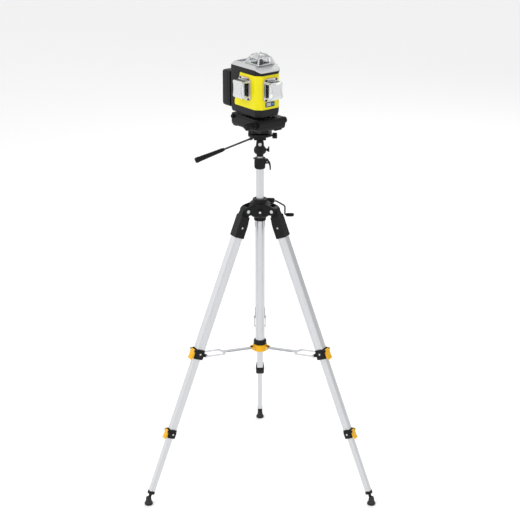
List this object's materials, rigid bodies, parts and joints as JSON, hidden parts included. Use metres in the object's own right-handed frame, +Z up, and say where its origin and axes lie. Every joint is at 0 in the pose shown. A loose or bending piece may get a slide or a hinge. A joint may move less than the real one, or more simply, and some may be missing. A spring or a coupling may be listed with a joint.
{
  "type": "laser level on tripod",
  "caption": "Cross-line laser level with window cages and a dome, on a folding aluminium tripod with pan and tilt head.",
  "frame": {"origin": "on the floor, in the middle of the box around the whole object", "axes": "+Z up, +Y towards the back leg, +X to the right of the two front legs"},
  "size_m": [0.6262, 0.5453, 1.2053],
  "materials": {
    "black_plastic": "moulded black plastic, fine texture",
    "charcoal_plastic": "charcoal moulded plastic, fine grain",
    "yellow_plastic": "satin yellow moulded cover",
    "mustard_plastic": "moulded golden-yellow levers and spreader hub",
    "aluminium_tube": "satin anodised aluminium",
    "silver_paint": "silver lacquer, satin",
    "steel": "bright plated steel",
    "window_glass": "clear window",
    "dark_panel": "dark blue-black keypad film",
    "rubber_foot": "black rubber"
  },
  "bodies": {
    "crown": {"crown": "black_plastic", "guide_tube": "aluminium_tube"},
    "leg_1": {"leg_1_shoulder": "black_plastic", "leg_1_upper_tube": "aluminium_tube"},
    "leg_1_middle": {"leg_1_middle_tube": "aluminium_tube"},
    "leg_1_lower": {"leg_1_lower_tube": "aluminium_tube", "leg_1_foot": "rubber_foot"},
    "leg_1_upper_lever": {"leg_1_upper_lever": "mustard_plastic"},
    "leg_1_lower_lever": {"leg_1_lower_lever": "mustard_plastic"},
    "arm_1": {"spreader_arm_1": "aluminium_tube"},
    "leg_2": {"leg_2_shoulder": "black_plastic", "leg_2_upper_tube": "aluminium_tube"},
    "leg_2_middle": {"leg_2_middle_tube": "aluminium_tube"},
    "leg_2_lower": {"leg_2_lower_tube": "aluminium_tube", "leg_2_foot": "rubber_foot"},
    "leg_2_upper_lever": {"leg_2_upper_lever": "mustard_plastic"},
    "leg_2_lower_lever": {"leg_2_lower_lever": "mustard_plastic"},
    "arm_2": {"spreader_arm_2": "aluminium_tube"},
    "leg_3": {"leg_3_shoulder": "black_plastic", "leg_3_upper_tube": "aluminium_tube"},
    "leg_3_middle": {"leg_3_middle_tube": "aluminium_tube"},
    "leg_3_lower": {"leg_3_lower_tube": "aluminium_tube", "leg_3_foot": "rubber_foot"},
    "leg_3_upper_lever": {"leg_3_upper_lever": "mustard_plastic"},
    "leg_3_lower_lever": {"leg_3_lower_lever": "mustard_plastic"},
    "arm_3": {"spreader_arm_3": "aluminium_tube"},
    "spreader": {"spreader_hub": "mustard_plastic", "spreader_collar": "black_plastic"},
    "column": {"centre_column": "aluminium_tube", "column_collar": "black_plastic"},
    "crank": {"crank": "steel"},
    "crank_grip": {"crank_grip": "black_plastic"},
    "collar_lever": {"collar_lever": "charcoal_plastic"},
    "inner_column": {"inner_column": "aluminium_tube"},
    "pan_base": {"pan_base": "black_plastic"},
    "pan_lock": {"pan_lock": "black_plastic"},
    "tilt_body": {"tilt_body": "black_plastic"},
    "pan_handle": {"handle_rod": "steel", "handle_grip": "black_plastic"},
    "platform": {"platform": "black_plastic", "quick_shoe": "black_plastic", "shoe_screw": "steel", "level_base": "charcoal_plastic"},
    "side_tilt_knob": {"side_tilt_knob": "black_plastic"},
    "turntable": {"turntable": "black_plastic"},
    "drive_knobs": {"drive_knobs": "black_plastic"},
    "level_body": {"housing": "charcoal_plastic", "yellow_cover": "yellow_plastic", "top_cover": "silver_paint", "dome_cage": "silver_paint", "dome_glass": "window_glass", "left_cage": "silver_paint", "left_glass": "window_glass", "front_cage": "silver_paint", "front_glass": "window_glass", "keypad": "dark_panel"},
    "battery_pack": {"battery_pack": "charcoal_plastic"},
    "power_switch": {"power_switch": "black_plastic"},
    "pendulum": {"pendulum": "steel"}
  },
  "joints": [
    {"name": "leg_1_fold", "type": "hinge", "parent": "crown", "child": "leg_1", "pos_m": [-0.03724, -0.10857, 0.788], "axis": [0.5, -0.866, 0], "range_deg": [0, 19]},
    {"name": "leg_1_middle_slide", "type": "slide", "parent": "leg_1", "child": "leg_1_middle", "axis": [0.3174, 0.1833, 0.9304], "range_m": [0, 0.196]},
    {"name": "leg_1_lower_slide", "type": "slide", "parent": "leg_1_middle", "child": "leg_1_lower", "axis": [0.3174, 0.1833, 0.9304], "range_m": [0, 0.14]},
    {"name": "leg_1_upper_lever_flip", "type": "hinge", "parent": "leg_1", "child": "leg_1_upper_lever", "pos_m": [-0.17743, -0.18951, 0.42507], "axis": [-0.5, 0.866, 0], "range_deg": [0, 100]},
    {"name": "leg_1_lower_lever_flip", "type": "hinge", "parent": "leg_1_middle", "child": "leg_1_lower_lever", "pos_m": [-0.24937, -0.23104, 0.20737], "axis": [-0.5, 0.866, 0], "range_deg": [0, 100]},
    {"name": "leg_2_fold", "type": "hinge", "parent": "crown", "child": "leg_2", "pos_m": [0.03724, -0.10857, 0.788], "axis": [0.5, 0.866, 0], "range_deg": [0, 19]},
    {"name": "leg_2_middle_slide", "type": "slide", "parent": "leg_2", "child": "leg_2_middle", "axis": [-0.3174, 0.1833, 0.9304], "range_m": [0, 0.196]},
    {"name": "leg_2_lower_slide", "type": "slide", "parent": "leg_2_middle", "child": "leg_2_lower", "axis": [-0.3174, 0.1833, 0.9304], "range_m": [0, 0.14]},
    {"name": "leg_2_upper_lever_flip", "type": "hinge", "parent": "leg_2", "child": "leg_2_upper_lever", "pos_m": [0.17743, -0.18951, 0.42507], "axis": [-0.5, -0.866, 0], "range_deg": [0, 100]},
    {"name": "leg_2_lower_lever_flip", "type": "hinge", "parent": "leg_2_middle", "child": "leg_2_lower_lever", "pos_m": [0.24937, -0.23104, 0.20737], "axis": [-0.5, -0.866, 0], "range_deg": [0, 100]},
    {"name": "leg_3_fold", "type": "hinge", "parent": "crown", "child": "leg_3", "pos_m": [0, -0.04407, 0.788], "axis": [-1, 0, 0], "range_deg": [0, 19]},
    {"name": "leg_3_middle_slide", "type": "slide", "parent": "leg_3", "child": "leg_3_middle", "axis": [0, -0.3665, 0.9304], "range_m": [0, 0.196]},
    {"name": "leg_3_lower_slide", "type": "slide", "parent": "leg_3_middle", "child": "leg_3_lower", "axis": [0, -0.3665, 0.9304], "range_m": [0, 0.14]},
    {"name": "leg_3_upper_lever_flip", "type": "hinge", "parent": "leg_3", "child": "leg_3_upper_lever", "pos_m": [0, 0.11781, 0.42507], "axis": [1, 0, 0], "range_deg": [0, 100]},
    {"name": "leg_3_lower_lever_flip", "type": "hinge", "parent": "leg_3_middle", "child": "leg_3_lower_lever", "pos_m": [0, 0.20087, 0.20737], "axis": [1, 0, 0], "range_deg": [0, 100]},
    {"name": "spreader_slide", "type": "slide", "parent": "crown", "child": "spreader", "axis": [0, 0, 1], "range_m": [0, 0.1408]},
    {"name": "arm_1_turn", "type": "hinge", "parent": "spreader", "child": "arm_1", "pos_m": [-0.02078, -0.09907, 0.391], "axis": [0.5, -0.866, 0], "range_deg": [0, 89]},
    {"name": "arm_2_turn", "type": "hinge", "parent": "spreader", "child": "arm_2", "pos_m": [0.02078, -0.09907, 0.391], "axis": [0.5, 0.866, 0], "range_deg": [0, 89]},
    {"name": "arm_3_turn", "type": "hinge", "parent": "spreader", "child": "arm_3", "pos_m": [0, -0.06307, 0.391], "axis": [-1, 0, 0], "range_deg": [0, 89]},
    {"name": "column_slide", "type": "slide", "parent": "crown", "child": "column", "axis": [0, 0, 1], "range_m": [-0.08, 0.17]},
    {"name": "crank_turn", "type": "hinge", "parent": "crown", "child": "crank", "pos_m": [0, -0.06987, 0.803], "axis": [1, 0, 0], "range_deg": [-1625, 765]},
    {"name": "crank_grip_spin", "type": "hinge", "parent": "crank", "child": "crank_grip", "pos_m": [0.066, -0.06987, 0.763], "axis": [1, 0, 0], "continuous": true},
    {"name": "collar_lever_flip", "type": "hinge", "parent": "column", "child": "collar_lever", "pos_m": [0.0183, -0.08707, 0.9165], "axis": [0, -1, 0], "range_deg": [0, 90]},
    {"name": "inner_column_slide", "type": "slide", "parent": "column", "child": "inner_column", "axis": [0, 0, 1], "range_m": [0, 0.17]},
    {"name": "pan_turn", "type": "hinge", "parent": "inner_column", "child": "pan_base", "pos_m": [0, -0.08707, 0.947], "axis": [0, 0, 1], "continuous": true},
    {"name": "pan_lock_turn", "type": "hinge", "parent": "pan_base", "child": "pan_lock", "pos_m": [0.02, -0.08707, 0.947], "axis": [1, 0, 0], "range_deg": [-180, 180]},
    {"name": "head_tilt", "type": "hinge", "parent": "pan_base", "child": "tilt_body", "pos_m": [0, -0.08707, 0.965], "axis": [0, 1, 0], "range_deg": [-30, 60]},
    {"name": "handle_twist", "type": "hinge", "parent": "tilt_body", "child": "pan_handle", "pos_m": [-0.0193, -0.08707, 0.9785], "axis": [-1, 0, 0], "range_deg": [0, 20]},
    {"name": "side_tilt", "type": "hinge", "parent": "tilt_body", "child": "platform", "pos_m": [0, -0.07307, 0.984], "axis": [-1, 0, 0], "range_deg": [0, 90]},
    {"name": "side_tilt_knob_turn", "type": "hinge", "parent": "platform", "child": "side_tilt_knob", "pos_m": [0.038, -0.07307, 0.981], "axis": [1, 0, 0], "range_deg": [-180, 180]},
    {"name": "fine_turn", "type": "hinge", "parent": "platform", "child": "turntable", "pos_m": [0, -0.08707, 1.033], "axis": [0, 0, 1], "range_deg": [-8, 8]},
    {"name": "drive_knobs_turn", "type": "hinge", "parent": "platform", "child": "drive_knobs", "pos_m": [0.01983, -0.11218, 1.025], "axis": [0.7848, 0.6198, 0], "range_deg": [-720, 720]},
    {"name": "level_swivel", "type": "hinge", "parent": "turntable", "child": "level_body", "pos_m": [0, -0.08707, 1.0443], "axis": [0, 0, 1], "continuous": true},
    {"name": "battery_slide", "type": "slide", "parent": "level_body", "child": "battery_pack", "axis": [-0.6198, 0.7848, 0], "range_m": [0, 0.03]},
    {"name": "power_switch_slide", "type": "slide", "parent": "level_body", "child": "power_switch", "axis": [0, 0, 1], "range_m": [0, 0.006]},
    {"name": "pendulum_swing", "type": "hinge", "parent": "level_body", "child": "pendulum", "pos_m": [0, -0.08707, 1.1443], "axis": [0.7848, 0.6198, 0], "range_deg": [-4, 4]}
  ],
  "couplings": [
    {"joint": "leg_2_fold", "follows": "leg_1_fold", "ratio": 1},
    {"joint": "leg_3_fold", "follows": "leg_1_fold", "ratio": 1},
    {"joint": "spreader_slide", "follows": "leg_1_fold", "m_per_rad": 0.42422},
    {"joint": "arm_1_turn", "follows": "leg_1_fold", "ratio": 4.6787},
    {"joint": "arm_2_turn", "follows": "leg_1_fold", "ratio": 4.6787},
    {"joint": "arm_3_turn", "follows": "leg_1_fold", "ratio": 4.6787},
    {"joint": "crank_turn", "follows": "column_slide", "rad_per_m": -166.67},
    {"joint": "drive_knobs_turn", "follows": "fine_turn", "ratio": 90}
  ]
}
